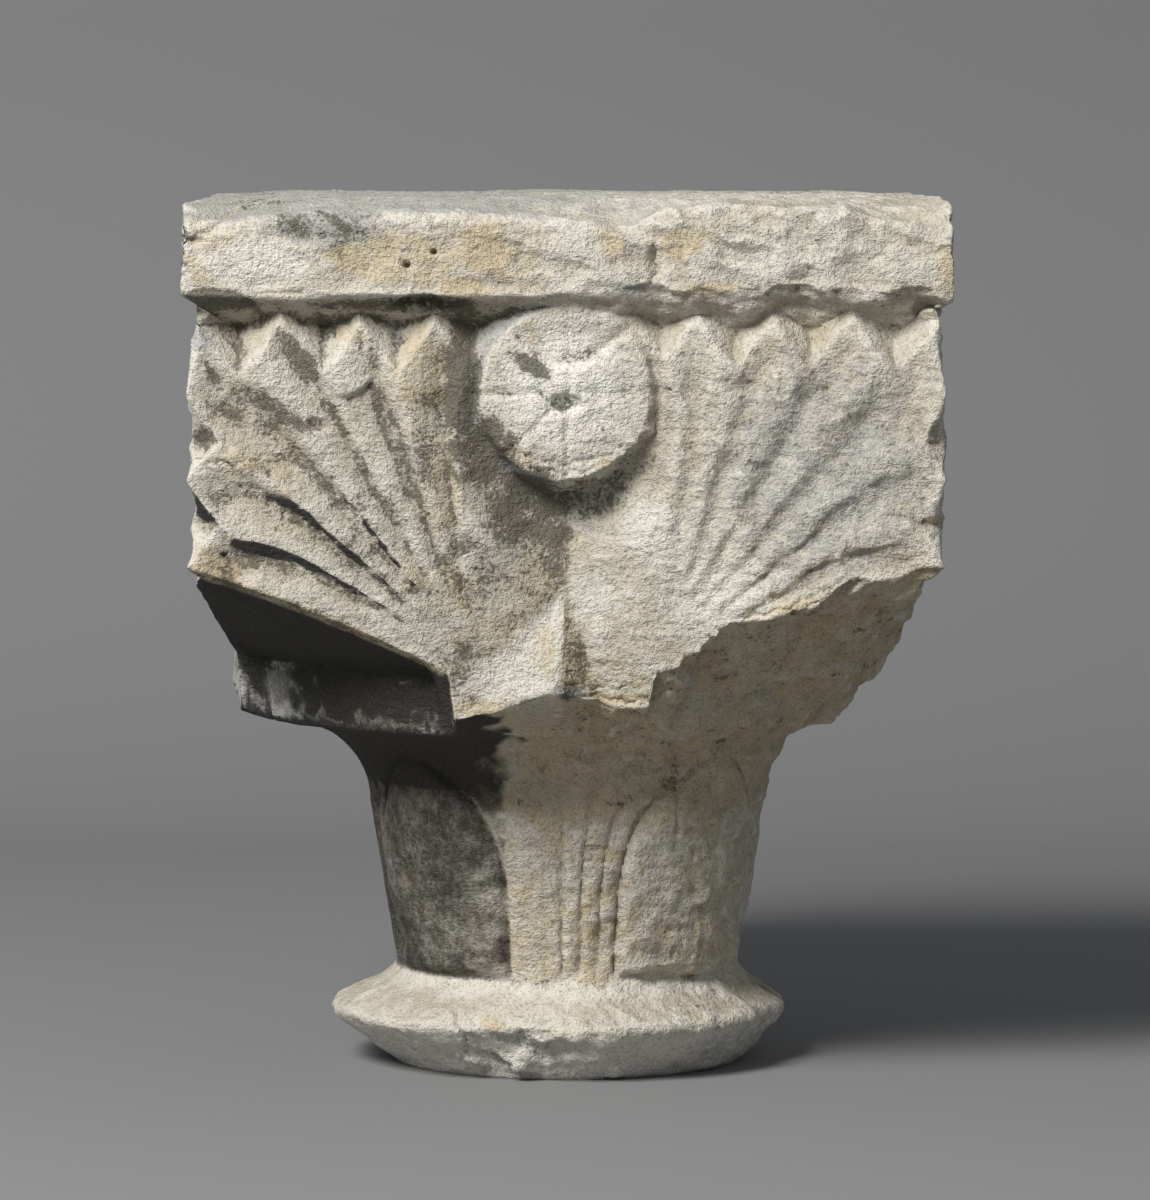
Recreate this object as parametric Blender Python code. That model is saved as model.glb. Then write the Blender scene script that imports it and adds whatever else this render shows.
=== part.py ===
"""Sandstone capital, carved from one block: round foot moulding, bell with four lobes and fluted stems,
square top with folded palmettes at the corners, a pointed lower leaf and a rosette on each face.

The stone is one closed surface. Its rows are level rings, from the foot bed up to the top bed. Its columns
run up the four faces and meet at the corners. Every row and column is worked out from the sizes below.
Metres, +Z up, the carved front looks toward -Y, the origin is in the middle of the foot bed.
"""
import math

import bpy
import numpy as np

MM = 0.001

# the square slab at the top
HEIGHT = 323 * MM
SLAB_HALF = 136 * MM
SLAB_UNDER = 288.5 * MM
CHAMFER_RUN = 1.6           # how far the surface under the slab goes in, for each unit down
UNDER_CHIPPED = 2.2 * MM    # how much higher it starts on the right of the front
TOP_BED_HALF = 121 * MM
FRONT_EDGE_WEAR = 4.5 * MM  # how far the top arris of the front has gone down
EDGE_WEAR = 1.6 * MM        # and those of the other sides

# the leaves folded round the corners
CORNER = 134 * MM
WALL_DIP_TOP = 3 * MM
WALL_DIP_RISE = 10 * MM      # for each 100 mm down
TUCK = 3 * MM               # how far the foot of a leaf is tucked in, below the lower leaf's apex
LEAF_TOP = 284 * MM
LEAF_FOOT = 153 * MM
FAN_OUT = 34 * MM           # the point that the leaflets spread from, on each half face
FAN_UP = 160 * MM
LEAFLETS = 6
LEAFLET_START = 20.5        # degrees from level, lower side of the first leaflet
LEAFLET_STEP = 11.0         # degrees
VALLEY = 0.76               # where the deepest line lies between two ridges, near the fan's foot
VALLEY_AT_TIP = 0.5         # and at the tips
CHANNEL_DEPTH = 5.2 * MM    # at a leaflet's far end
TIP_ANGLES = (7, 16.7, 26.5, 30.8, 39.1, 43, 55, 59, 66, 71, 77.5, 84.2, 90.3)
WALL_RECESS = 7 * MM
NICK_TOP = 277 * MM
NICK_OUT = 117.6 * MM
CORNER_CUTS = (13.5 * MM, 13.5 * MM, 7 * MM)
CORNER_TIPS = (191.7 * MM, 223.5 * MM, 253.4 * MM)
CORNER_NICKS = (207.6 * MM, 236.5 * MM, 274.5 * MM)

# the lower leaf in the middle of a face
LOW_APEX = 184 * MM
LOW_APEX_OUT = 117.5 * MM
LOW_HALF = 39.3 * MM
LOW_NOSE = 125 * MM
LOW_FOOT = 140 * MM
LOW_FALL = 0.13             # sideways fall from the ridge
FACET_FALL = 0.5            # and that of the narrow facet beside it on the front
FACET_SPREAD = 0.42

# the rosette
ROSETTE_UP = 253.5 * MM
ROSETTE_RADIUS = 31 * MM
ROSETTE_OUT = 131 * MM
ROSETTE_DISH = 3.5 * MM     # how far the wall is hollowed out round it
PETALS = 8

# the round part
RIM_RADIUS = 84.4 * MM
RIM_LOW = 18.5 * MM
RIM_HIGH = 21.5 * MM
FOOT_RADIUS = 64.5 * MM
NECK_RADIUS = 63.5 * MM
NECK_UP = 36 * MM
COVE_RADIUS = 73.5 * MM
COVE_UP = 97 * MM
RING_UP = 130 * MM
RING_TALL = 24 * MM         # the upright band that the leaves stand over
LOBE_HALF_ANGLE = 27.5      # degrees
LOBE_SPRING = 50 * MM
LOBE_TOP = 120 * MM
LOBE_BULGE = 3.6 * MM
FLUTES = 6
FLUTE_DEPTH = 1.6 * MM

# how much each corner and each face has lost; faces go front, right, back, left
CORNER_WEAR = (0.55, 0.35, 0.35, 0.0)
NOSE_LOSS = (0 * MM, 17 * MM, 2 * MM, 0 * MM)
EDGE_LOSS = (0 * MM, 8.5 * MM, 2 * MM, 0 * MM)
RIDGE_LEAN = (-0.1, 0.0, 0.0, 0.0)
RING_LOSS = 13 * MM         # of the ring under the leaves, from the front's middle round to the right
RIM_LOSS = 4 * MM           # of the foot's rim, left of the front's middle
BITES_AT = (40, 46, 58, 71, 86, 98, 102, 121, 134)
BITES = (0, 3, 7.5, 4.7, 2.6, 4.9, 5.5, 2, 0)
FRONT_FOOT_AT = (-39, -26, -13, -6, 4, 19, 33, 39)
FRONT_FOOT_UP = (137, 140, 145, 147.4, 145.5, 141, 142.5, 143.5)

COLUMNS_PER_FACE = 144
TRIANGLES = 8600


def smooth(a, b, x):
    """0 below a, 1 above b, an even S between."""
    s = np.clip((x - a) / (b - a), 0.0, 1.0)
    return s * s * (3.0 - 2.0 * s)


def wall_dip(z, front):
    """How far the middle of a face lies behind the corner line, at height z."""
    lean = WALL_DIP_TOP + WALL_DIP_RISE * (LEAF_TOP - z) / (100 * MM)
    low = np.clip((LOW_APEX - z) / (LOW_APEX - LEAF_FOOT), 0.0, 1.0)
    return lean + TUCK * (1.0 - front) * low ** 1.6


def corner_cut(z, wear):
    """Saw-tooth cut across a corner: nothing at the leaf tips, full at the nicks."""
    up = [h for pair in zip(CORNER_TIPS, CORNER_NICKS) for h in pair] + [0.3]
    cut = [c for full in CORNER_CUTS for c in (0.0, full)] + [CORNER_CUTS[-1]]
    return np.interp(z, up, cut) * (1.0 - 0.6 * wear)


def chamfer(z, under, run):
    """The sloping surface under the slab: it goes in by run for each unit down."""
    return SLAB_HALF - run * (under - z)


def corner_reach(z, wear, under, run):
    """Distance of the corner from both middle planes, at height z."""
    return np.maximum(CORNER - 0.5 * corner_cut(z, wear), chamfer(z, under, run))


def leaflet_phase(side, z):
    """Counts the leaflets of one half palmette: whole numbers on the ridges, halves in the channels."""
    across = side - FAN_OUT
    up = z - FAN_UP
    rho = np.hypot(across, up)
    angle = np.degrees(np.arctan2(up, across))
    angle = np.where(angle < -60.0, 180.0, angle)
    sin_a = np.maximum(np.sin(np.radians(angle)), 1e-3)
    cos_a = np.maximum(np.cos(np.radians(angle)), 1e-3)
    reach = np.minimum((LEAF_TOP - FAN_UP) / sin_a, (CORNER - FAN_OUT) / cos_a)
    near_fan = (angle - LEAFLET_START) / LEAFLET_STEP
    halves = 0.5 * np.arange(len(TIP_ANGLES))
    at_tips = np.interp(angle, TIP_ANGLES, halves) + np.maximum(angle - TIP_ANGLES[-1], 0.0) / LEAFLET_STEP
    bend = smooth(0.55, 1.0, rho / reach)
    return near_fan + (at_tips - near_fan) * bend, rho, bend


def leaflet_cut(phase, bend, wear):
    """0 on a ridge, 1 in the valley: a slow fall, then a steep climb. Where it is worn, a soft wave."""
    part = np.clip(phase - np.clip(np.floor(phase), 0, LEAFLETS - 1), 0.0, 1.0)
    valley = VALLEY + (VALLEY_AT_TIP - VALLEY) * bend
    carved = np.where(part < valley, (part / valley) ** 1.5, (1.0 - part) / (1.0 - valley))
    wave = np.sin(np.pi * part ** 1.35) ** 2
    return carved + (wave - carved) * np.clip(0.3 + 1.3 * wear, 0.0, 1.0)


def palmette(side, z, wear, front):
    """Outward distance of the palmette: a dipped wall, less the channels, less the nicks at its top edge."""
    base = CORNER - wall_dip(z, front) * np.clip(1.0 - side / CORNER, 0.0, 1.0)
    phase, rho, bend = leaflet_phase(side, z)
    channel = leaflet_cut(phase, bend, wear) * np.minimum(rho / (110 * MM), 1.0) ** 0.8 * CHANNEL_DEPTH
    channel = channel * smooth(4 * MM, 50 * MM, rho)
    channel = channel * (1.0 - smooth(0.93, 1.0, side / CORNER)) * (1.0 - 0.45 * wear)
    recess = WALL_RECESS * smooth(LEAFLETS, LEAFLETS + 3.0, phase) * smooth(12 * MM, 70 * MM, rho)
    dish = ROSETTE_DISH * smooth(60 * MM, 36 * MM, np.hypot(side, z - ROSETTE_UP))
    leaf = base - channel - recess - dish * smooth(LEAFLETS - 0.3, LEAFLETS + 0.5, phase)
    for angle in TIP_ANGLES[6::2]:
        across = FAN_OUT + (NICK_TOP - FAN_UP) / math.tan(math.radians(angle))
        nick = NICK_OUT + 0.8 * (NICK_TOP - z) + 0.9 * np.abs(side - across) + 3 * MM * wear
        leaf = np.minimum(leaf, nick)
    return np.minimum(leaf, 2.0 * CORNER - corner_cut(z, wear) - side)


def lower_leaf(u, z, loss, lean, front):
    """Pointed leaf with a ridge, out from the wall and down to its nose; on the front a narrow steep facet
    runs down the right of the ridge.
    """
    down = LOW_APEX - z
    off = u - lean * down
    facet = FACET_SPREAD * np.maximum(down, 0.0)
    fall = LOW_FALL * np.abs(off)
    fall_right = FACET_FALL * np.minimum(off, facet) + 0.03 * np.maximum(off - facet, 0.0)
    fall = np.where((front > 0) & (off > 0), fall_right, fall)
    nose = LOW_NOSE - 0.5 * loss
    ridge = np.minimum(LOW_APEX_OUT + 0.23 * down, nose - 0.12 * np.maximum(z - LOW_FOOT, 0.0))
    ridge = ridge - loss * smooth(150 * MM, 138 * MM, z)
    half = LOW_HALF + 0.12 * (LEAF_FOOT - z)
    past = np.maximum(np.abs(u) - half, 0.0)
    return ridge - fall - 7.0 * past - 30.0 * np.maximum(-down, 0.0)


def rosette(u, z, front):
    """Round boss with a sloping side, radial grooves between the petals and a hollow in the middle. On the
    front the upper petals have come off down to a step.
    """
    up = z - ROSETTE_UP
    rho = np.hypot(u / 0.95, up)
    turn = np.arctan2(up, u) * PETALS / (2.0 * math.pi)
    off_groove = np.abs(turn - np.round(turn)) * 2.0 * math.pi / PETALS * rho
    groove = 1.4 * MM * np.exp(-(off_groove / (1.2 * MM)) ** 2) * smooth(5 * MM, 9 * MM, rho)
    hollow = 3 * MM * smooth(1.15, 0.6, np.hypot(u / (7 * MM), (up + 3.5 * MM) / (4 * MM)))
    step = 9.5 * MM + 0.9 * np.maximum(np.abs(u) - 7 * MM, 0.0)
    scar = 3.4 * MM * smooth(step - 1.2 * MM, step + 1.2 * MM, up) * front
    scar = scar * np.clip((25 * MM - up) / np.maximum(25 * MM - step, 1 * MM), 0.0, 1.0)
    face = ROSETTE_OUT - groove * (1.0 - front * (up > 6 * MM)) - hollow - scar
    flare = 1.15 + 2.2 * smooth(0.1, 0.8, -up / np.maximum(rho, 1 * MM))
    return face - flare * np.maximum(rho - ROSETTE_RADIUS, 0.0)


def lower_edge(u, loss, gone, front):
    """Height where the carved face ends below: the leaf's edge, or the lower leaf's foot in the middle."""
    side = np.abs(u) + 5.3 * MM * front * smooth(0.0, 30 * MM, u) * smooth(90 * MM, 45 * MM, u)
    past = np.maximum(side - LOW_HALF, 0.0) / MM
    leaf = LEAF_FOOT + (0.53 * past - 0.00123 * past ** 2) * MM
    leaf = leaf + gone * smooth(CORNER, CORNER - 16 * MM, side)
    leaf = leaf + np.interp(u / MM, BITES_AT, BITES) * MM * front
    foot = LOW_FOOT + 0.75 * loss - 8 * MM * (side / LOW_HALF) ** 4
    foot = foot + (np.interp(u / MM, FRONT_FOOT_AT, FRONT_FOOT_UP) * MM - foot) * front
    ends = LOW_HALF - 5 * MM * front * (u > 0)
    return foot + (leaf - foot) * smooth(0.0, 3 * MM, side - ends)


def ring_radius(phi):
    """Plan of the arris under the leaves, a polygon with its flats across the corners."""
    return np.interp(np.abs(phi), (0, 20, 23.4, 36, 45), (0.1128, 0.1135, 0.1165, 0.1145, 0.1132))


def bell_relief(phi, z, front):
    """Lobes under the corners, with pointed tops and a fine line along them, and fluted stems between."""
    phi = phi + 1.5 * front * smooth(45.0, 30.0, np.abs(phi))
    from_corner = 45.0 - np.abs(phi)
    rise = np.clip((z - LOBE_SPRING) / (LOBE_TOP - LOBE_SPRING), 0.0, 1.0)
    half = LOBE_HALF_ANGLE * (1.0 - rise ** 3.6)
    inside = np.clip(1.0 - (from_corner / np.maximum(half, 0.01)) ** 2, 0.0, 1.0) ** 0.5
    lobe = LOBE_BULGE * inside * (1.0 - smooth(LOBE_TOP - 8 * MM, LOBE_TOP, z))
    phase = FLUTES * 0.5 * (phi / (45.0 - half) + 1.0)
    part = np.abs(2.0 * (phase - np.floor(phase)) - 1.0)
    flute = FLUTE_DEPTH * part ** 3 * (from_corner > half) * (1.0 - smooth(96 * MM, 112 * MM, z))
    flute = flute * (1.0 - front * smooth(-3.0, -7.0, phi))
    line = np.exp(-((from_corner - half) / 1.3) ** 2) * smooth(LOBE_TOP, LOBE_TOP - 10 * MM, z)
    return (lobe - flute - 1.1 * MM * line) * smooth(NECK_UP, NECK_UP + 5 * MM, z)


def round_row(phi, radius, z):
    """A row given by its radius at each column."""
    a = np.radians(phi)
    return np.stack([radius * np.sin(a), radius * np.cos(a), z + 0.0 * radius], axis=-1)


def build_rows():
    """All rows from the foot bed to the top bed, as sideways place, outward distance and height."""
    count = COLUMNS_PER_FACE
    t = np.tile(-1.0 + 2.0 * np.arange(count) / count, 4)
    face = np.repeat(np.arange(4), count)
    corner = np.where(t < 0.0, (face + 3) % 4, face)
    wear = np.array(CORNER_WEAR)[corner]
    loss = np.array(NOSE_LOSS)[face]
    gone = np.array(EDGE_LOSS)[face]
    lean = np.array(RIDGE_LEAN)[face]
    turn = np.radians(90.0 * face)
    front = (face == 0) * 1.0
    front_right = front * smooth(-0.1, 0.15, t) * smooth(1.0, 0.9, t)
    under = SLAB_UNDER + UNDER_CHIPPED * front_right
    run = CHAMFER_RUN - 0.6 * front_right

    def face_row(z):
        """One row of the carved faces: how far sideways, and the foremost of all the forms."""
        u = t * corner_reach(z, wear, under, run)
        out = np.maximum(palmette(np.abs(u), z, wear, front), lower_leaf(u, z, loss, lean, front))
        out = np.maximum(out, rosette(u, z, front))
        return np.stack([u, np.maximum(out, chamfer(z, under, run)), z], axis=-1)

    z_low = lower_edge(t * CORNER, loss, gone, front)
    edge = face_row(z_low)
    phi = np.sign(t) * np.interp(np.abs(t), (0, 0.29, 0.32, 1), (0, 19.8, 21.0, 45))
    around = np.radians(phi) + turn
    degrees_round = np.degrees(around + np.pi) % 360.0 - 180.0
    broken_ring = smooth(-22.0, -12.0, degrees_round) * smooth(150.0, 115.0, degrees_round)
    ring = ring_radius(phi) - RING_LOSS * broken_ring
    rim = RIM_RADIUS - 3.2 * MM * np.sin(around)
    rim = rim - RIM_LOSS * smooth(24.0, 10.0, np.abs(degrees_round + 11.0))

    rows = []
    for s in np.linspace(0.0, 1.0, 7):
        rows.append(round_row(phi, FOOT_RADIUS + (rim - FOOT_RADIUS) * s, RIM_LOW * s))
    rows.append(round_row(phi, rim + 0.6 * MM, 0.5 * (RIM_LOW + RIM_HIGH)))
    for s in np.linspace(0.0, 1.0, 9):
        lift = NECK_UP - RIM_HIGH
        rows.append(round_row(phi, rim + (NECK_RADIUS - rim) * s, RIM_HIGH + lift * (0.75 * s + 0.25 * s ** 6)))
    for z in np.linspace(NECK_UP, COVE_UP, 44)[1:]:
        radius = NECK_RADIUS + (COVE_RADIUS - NECK_RADIUS) * (z - NECK_UP) / (COVE_UP - NECK_UP)
        rows.append(round_row(phi, radius + bell_relief(phi, z, front), z))
    for psi in np.radians(np.linspace(0.0, 90.0, 26))[1:]:
        z = COVE_UP + (RING_UP - COVE_UP) * math.sin(psi)
        radius = COVE_RADIUS + (ring - COVE_RADIUS) * (1.0 - math.cos(psi))
        rows.append(round_row(phi, radius + bell_relief(phi, z, front), z))
    start = rows[-1]
    room = np.maximum(z_low - RING_UP - 4 * MM, 0.0)
    tall = np.minimum(RING_TALL, room) * smooth(20.0, 24.0, np.abs(phi)) * (1.0 - 0.8 * wear)
    middle = round_row(phi, ring + 2.0 * MM + 0.06 * tall, RING_UP + tall)
    for s in np.linspace(0.0, 1.0, 8)[1:]:
        rows.append(start + (middle - start) * s)
    for s in np.linspace(0.0, 1.0, 18)[1:]:
        rows.append(middle + (edge - middle) * s)
    for s in np.linspace(0.0, 1.0, 130)[1:]:
        rows.append(face_row(z_low + (under - z_low) * s))
    front = smooth(50.0, 43.0, np.abs((np.degrees(turn) + 45.0 * t + 180.0) % 360.0 - 180.0))
    worn = EDGE_WEAR + (FRONT_EDGE_WEAR - EDGE_WEAR) * front
    for s in np.linspace(0.0, 1.0, 8)[1:]:
        z = under + (HEIGHT - worn - under) * s
        rows.append(np.stack([t * SLAB_HALF, SLAB_HALF + 0.0 * t, z], axis=-1))
    for inward, share in ((1.2 * MM, 0.72), (6 * MM, 0.35)):
        half = SLAB_HALF - inward
        rows.append(np.stack([t * half, half + 0.0 * t, HEIGHT - share * worn], axis=-1))
    for half in (TOP_BED_HALF, 0.5 * TOP_BED_HALF):
        rows.append(np.stack([t * half, half + 0.0 * t, HEIGHT + 0.0 * t], axis=-1))

    local = np.array(rows)
    x = local[..., 0] * np.cos(turn) + local[..., 1] * np.sin(turn)
    y = local[..., 0] * np.sin(turn) - local[..., 1] * np.cos(turn)
    return np.stack([x, y, local[..., 2]], axis=-1)


def build_mesh(name, grid):
    """One closed mesh from the rows: four-sided faces between them, one flat face on each bed."""
    n_rows, n_cols, _ = grid.shape
    i, j = np.meshgrid(np.arange(n_rows - 1), np.arange(n_cols), indexing="ij")
    here = i * n_cols + j
    beside = i * n_cols + (j + 1) % n_cols
    quads = np.stack([here, beside, beside + n_cols, here + n_cols], axis=-1).reshape(-1, 4)
    faces = quads.tolist()
    faces.append(list(range(n_cols - 1, -1, -1)))
    last = (n_rows - 1) * n_cols
    faces.append(list(range(last, last + n_cols)))
    mesh = bpy.data.meshes.new(name)
    mesh.from_pydata(grid.reshape(-1, 3).tolist(), [], faces)
    mesh.validate()
    mesh.update()
    return mesh


def fewer_triangles(obj, wanted):
    """Collapses the even parts of the surface and keeps the arrises, then sets both beds flat again."""
    total = sum(len(p.vertices) - 2 for p in obj.data.polygons)
    thin = obj.modifiers.new("thin out", "DECIMATE")
    thin.ratio = wanted / total
    thin.use_collapse_triangulate = True
    graph = bpy.context.evaluated_depsgraph_get()
    done = bpy.data.meshes.new_from_object(obj.evaluated_get(graph))
    obj.modifiers.clear()
    old = obj.data
    obj.data = done
    bpy.data.meshes.remove(old)
    places = np.empty(len(done.vertices) * 3)
    done.vertices.foreach_get("co", places)
    places = places.reshape(-1, 3)
    places[:, 2] = np.where(places[:, 2] < 0.25 * MM, 0.0, places[:, 2])
    places[:, 2] = np.where(places[:, 2] > HEIGHT - 0.25 * MM, HEIGHT, places[:, 2])
    places[:, :2] = np.clip(places[:, :2], -SLAB_HALF, SLAB_HALF)
    done.vertices.foreach_set("co", places.ravel())
    done.update()
    return done


for old_object in list(bpy.data.objects):
    bpy.data.objects.remove(old_object, do_unlink=True)

stone_look = bpy.data.materials.new("sandstone")
stone_look.use_nodes = True
shader = stone_look.node_tree.nodes["Principled BSDF"]
shader.inputs["Base Color"].default_value = (0.56, 0.52, 0.43, 1.0)
shader.inputs["Roughness"].default_value = 0.75
shader.inputs["Metallic"].default_value = 0.0

capital = bpy.data.objects.new("capital", build_mesh("capital", build_rows()))
bpy.context.scene.collection.objects.link(capital)
capital.data = fewer_triangles(capital, TRIANGLES)
capital.data.name = "capital"
capital.data.materials.clear()
capital.data.materials.append(stone_look)
capital.data.polygons.foreach_set("use_smooth", [False] * len(capital.data.polygons))
print("capital:", len(capital.data.vertices), "vertices,", len(capital.data.polygons), "triangles")
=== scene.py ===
# %% [markdown]
# # A weathered sandstone capital, built as one surface
#
# A capital is the stone between a round shaft and the square stone above it. This one is a single block, so
# the piece made here is a single closed surface. Think of it as a pot built up in rings: the lowest rings
# are round, the upper ones are square, and a formula says where each ring runs.
#
# The same could be modelled by hand, with a cube, a few loop cuts and a sculpting brush. Worked out in
# numpy it can be taken apart again: a leaf, a flute or a chip is one line of arithmetic, and its size is a
# named number.

import math

import bpy
import numpy as np
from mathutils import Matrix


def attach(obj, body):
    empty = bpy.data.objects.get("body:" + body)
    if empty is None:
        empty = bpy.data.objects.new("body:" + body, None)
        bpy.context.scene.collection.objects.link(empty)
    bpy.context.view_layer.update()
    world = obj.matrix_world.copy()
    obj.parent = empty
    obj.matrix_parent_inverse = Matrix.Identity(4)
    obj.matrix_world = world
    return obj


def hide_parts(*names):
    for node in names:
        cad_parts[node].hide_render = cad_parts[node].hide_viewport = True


MM = 0.001

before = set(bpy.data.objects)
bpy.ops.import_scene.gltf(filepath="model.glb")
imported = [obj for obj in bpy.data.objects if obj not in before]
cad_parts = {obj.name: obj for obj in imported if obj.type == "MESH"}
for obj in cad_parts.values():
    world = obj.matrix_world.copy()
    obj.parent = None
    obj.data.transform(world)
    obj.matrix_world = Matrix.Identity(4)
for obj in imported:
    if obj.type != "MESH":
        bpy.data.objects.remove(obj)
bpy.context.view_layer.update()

# %% [markdown]
# ## Small tools
#
# `smooth` eases from 0 to 1 between two values. `noise` gives a soft random height at any point in space:
# each corner of a cubic lattice has its own random number, and a point in a cell blends the eight around
# it. Stone wears at many scales at once, so `rough` adds a few layers of it, each finer and weaker than the
# last.

# %% Ease, noise, spots and cracks


def smooth(a, b, x):
    """0 at a, 1 at b, with an even S between them: 3s^2 - 2s^3."""
    s = np.clip((x - a) / (b - a), 0.0, 1.0)
    return s * s * (3.0 - 2.0 * s)


def ease(a, b, x):
    """The same for lengths, with its two ends in mm."""
    return smooth(a * MM, b * MM, x)


def lattice(ix, iy, iz, seed):
    """A random number from -1 to 1 for each whole-numbered corner, always the same for the same corner."""
    h = ix * 374761393 + iy * 668265263 + iz * 2147483647 + seed * 974634777
    h = (h ^ (h >> 13)) * 1274126177
    h = (h ^ (h >> 16)) & 0xFFFFFF
    return h / float(0x7FFFFF) - 1.0


def noise(points, size, seed):
    """Soft random value from -1 to 1. size is the width of one cell, a number or one for each axis.

    The lattice is leaned a little and moved for each seed, so that no two layers share a line.
    """
    a, b = 0.35 + 0.9 * seed, 0.11
    x = points[..., 0] * math.cos(a) - points[..., 1] * math.sin(a)
    y = points[..., 0] * math.sin(a) + points[..., 1] * math.cos(a)
    z = points[..., 2] * math.cos(b) + points[..., 0] * math.sin(b)
    q = np.stack([x, y, z], axis=-1) / np.asarray(size) + 7.31 * seed + 0.37
    cell = np.floor(q).astype(np.int64)
    f = q - cell
    f = f * f * (3.0 - 2.0 * f)
    total = np.zeros(points.shape[:-1])
    for dx in (0, 1):
        wx = f[..., 0] if dx else 1.0 - f[..., 0]
        for dy in (0, 1):
            wy = f[..., 1] if dy else 1.0 - f[..., 1]
            for dz in (0, 1):
                wz = f[..., 2] if dz else 1.0 - f[..., 2]
                total += wx * wy * wz * lattice(cell[..., 0] + dx, cell[..., 1] + dy, cell[..., 2] + dz, seed)
    return total


def rough(points, size, seed, layers=3):
    """Layers of noise, each at half the size and half the height of the one before."""
    return sum(noise(points, np.asarray(size) / 2**k, seed + k) / 2**k for k in range(layers))


def spot(u, z, at_u, at_z, half_u, half_z, turn=0.0):
    """A soft oval on the front: 1 in its middle, 0 from its edge on. Places in mm, turn in degrees."""
    c, s = math.cos(math.radians(turn)), math.sin(math.radians(turn))
    du, dz = u / MM - at_u, z / MM - at_z
    along, over = du * c + dz * s, dz * c - du * s
    return smooth(1.0, 0.35, np.hypot(along / half_u, over / half_z))


def crack(u, z, way, width, seed=0.0):
    """A thin line along a way of points in mm: 1 on the line, 0 one width away. The line wanders a little."""
    x = u / MM + 0.6 * np.sin(z / MM * 0.9 + seed) + 0.35 * np.sin(z / MM * 2.3 + 2.0 * seed)
    y = z / MM + 0.6 * np.sin(u / MM * 0.8 + seed) + 0.35 * np.sin(u / MM * 2.1 + 3.0 * seed)
    away = np.full(np.shape(x), 1e9)
    for (ax, ay), (bx, by) in zip(way[:-1], way[1:]):
        dx, dy = bx - ax, by - ay
        along = np.clip(((x - ax) * dx + (y - ay) * dy) / (dx * dx + dy * dy), 0.0, 1.0)
        away = np.minimum(away, np.hypot(x - ax - along * dx, y - ay - along * dy))
    return np.clip(1.0 - away / width, 0.0, 1.0)


sample = noise(np.linspace((0.0, 0.0, 0.0), (0.3, 0.2, 0.1), 500), 10 * MM, 1)
print("noise along a line, average and spread:", round(sample.mean(), 2), round(sample.std(), 2))

# %% [markdown]
# ## The sizes
#
# Everything that a mason would lay off with a rule or compasses is named here once. The shaft under a
# capital like this is about 127 mm across, and the rest follows from the proportions.
#
# A second group of values says what weather and knocks have taken. Broken edges have no rule, so they are
# short lists of places and depths, read between by `np.interp`.

# %% Sizes of the block and its carving
HEIGHT = 323 * MM
SLAB_HALF = 136 * MM
SLAB_UNDER = 288.5 * MM
CHAMFER_RUN = 1.6

CORNER = 134 * MM
WALL_DIP_TOP = 3 * MM
WALL_DIP_RISE = 10 * MM
TUCK = 3 * MM
LEAF_TOP = 284 * MM
LEAF_FOOT = 153 * MM
FAN_OUT, FAN_UP = 34 * MM, 160 * MM
LEAFLETS = 6
LEAFLET_START, LEAFLET_STEP = 20.5, 11.0
VALLEY, VALLEY_AT_TIP = 0.76, 0.5
CHANNEL_DEPTH = 5.2 * MM
TIP_ANGLES = (7, 16.7, 26.5, 30.8, 39.1, 43, 55, 59, 66, 71, 77.5, 84.2, 90.3)
WALL_RECESS = 7 * MM
NICK_TOP, NICK_OUT = 277 * MM, 117.6 * MM
CORNER_TIPS = (191.7 * MM, 223.5 * MM, 253.4 * MM)
CORNER_NICKS = (207.6 * MM, 236.5 * MM, 274.5 * MM)
CORNER_CUTS = (13.5 * MM, 13.5 * MM, 7 * MM)

LOW_APEX, LOW_APEX_OUT = 184 * MM, 117.5 * MM
LOW_HALF = 39.3 * MM
LOW_NOSE, LOW_FOOT, LOW_FALL, LOW_SLOPE = 125 * MM, 140 * MM, 0.13, 0.23
FACET_SPREAD, FACET_FALL = 0.42, 0.5

ROSETTE_UP, ROSETTE_OUT = 253.5 * MM, 131 * MM
ROSETTE_RADIUS = 31 * MM
ROSETTE_DISH = 3.5 * MM
PETALS = 8

RIM_RADIUS = 84.4 * MM
RIM_LOW, RIM_HIGH = 18.5 * MM, 21.5 * MM
FOOT_RADIUS = 64.5 * MM
NECK_RADIUS, NECK_UP = 63.5 * MM, 36 * MM
COVE_RADIUS, COVE_UP = 73.5 * MM, 97 * MM
RING_UP, RING_TALL, RING_PLAIN = 130 * MM, 24 * MM, 113.5 * MM
LOBE_HALF_ANGLE, LOBE_SPRING, LOBE_TOP, LOBE_BULGE = 27.5, 50 * MM, 120 * MM, 3.6 * MM
FLUTES, FLUTE_DEPTH = 6, 1.6 * MM
print("the block is", round(HEIGHT / (2 * SLAB_HALF), 2), "times as high as its slab is wide, on a foot of",
      round(2 * FOOT_RADIUS / MM), "mm")

# %% What weather and knocks have taken
# Faces go front, right, back, left; corners go front right, back right, back left, front left.
CORNER_WEAR = (0.55, 0.35, 0.35, 0.0)
NOSE_LOSS = (0 * MM, 17 * MM, 2 * MM, 0 * MM)
EDGE_LOSS = (0 * MM, 8.5 * MM, 2 * MM, 0 * MM)
RIDGE_LEAN = (-0.1, 0.0, 0.0, 0.0)
RING_LOSS = 13 * MM
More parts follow.
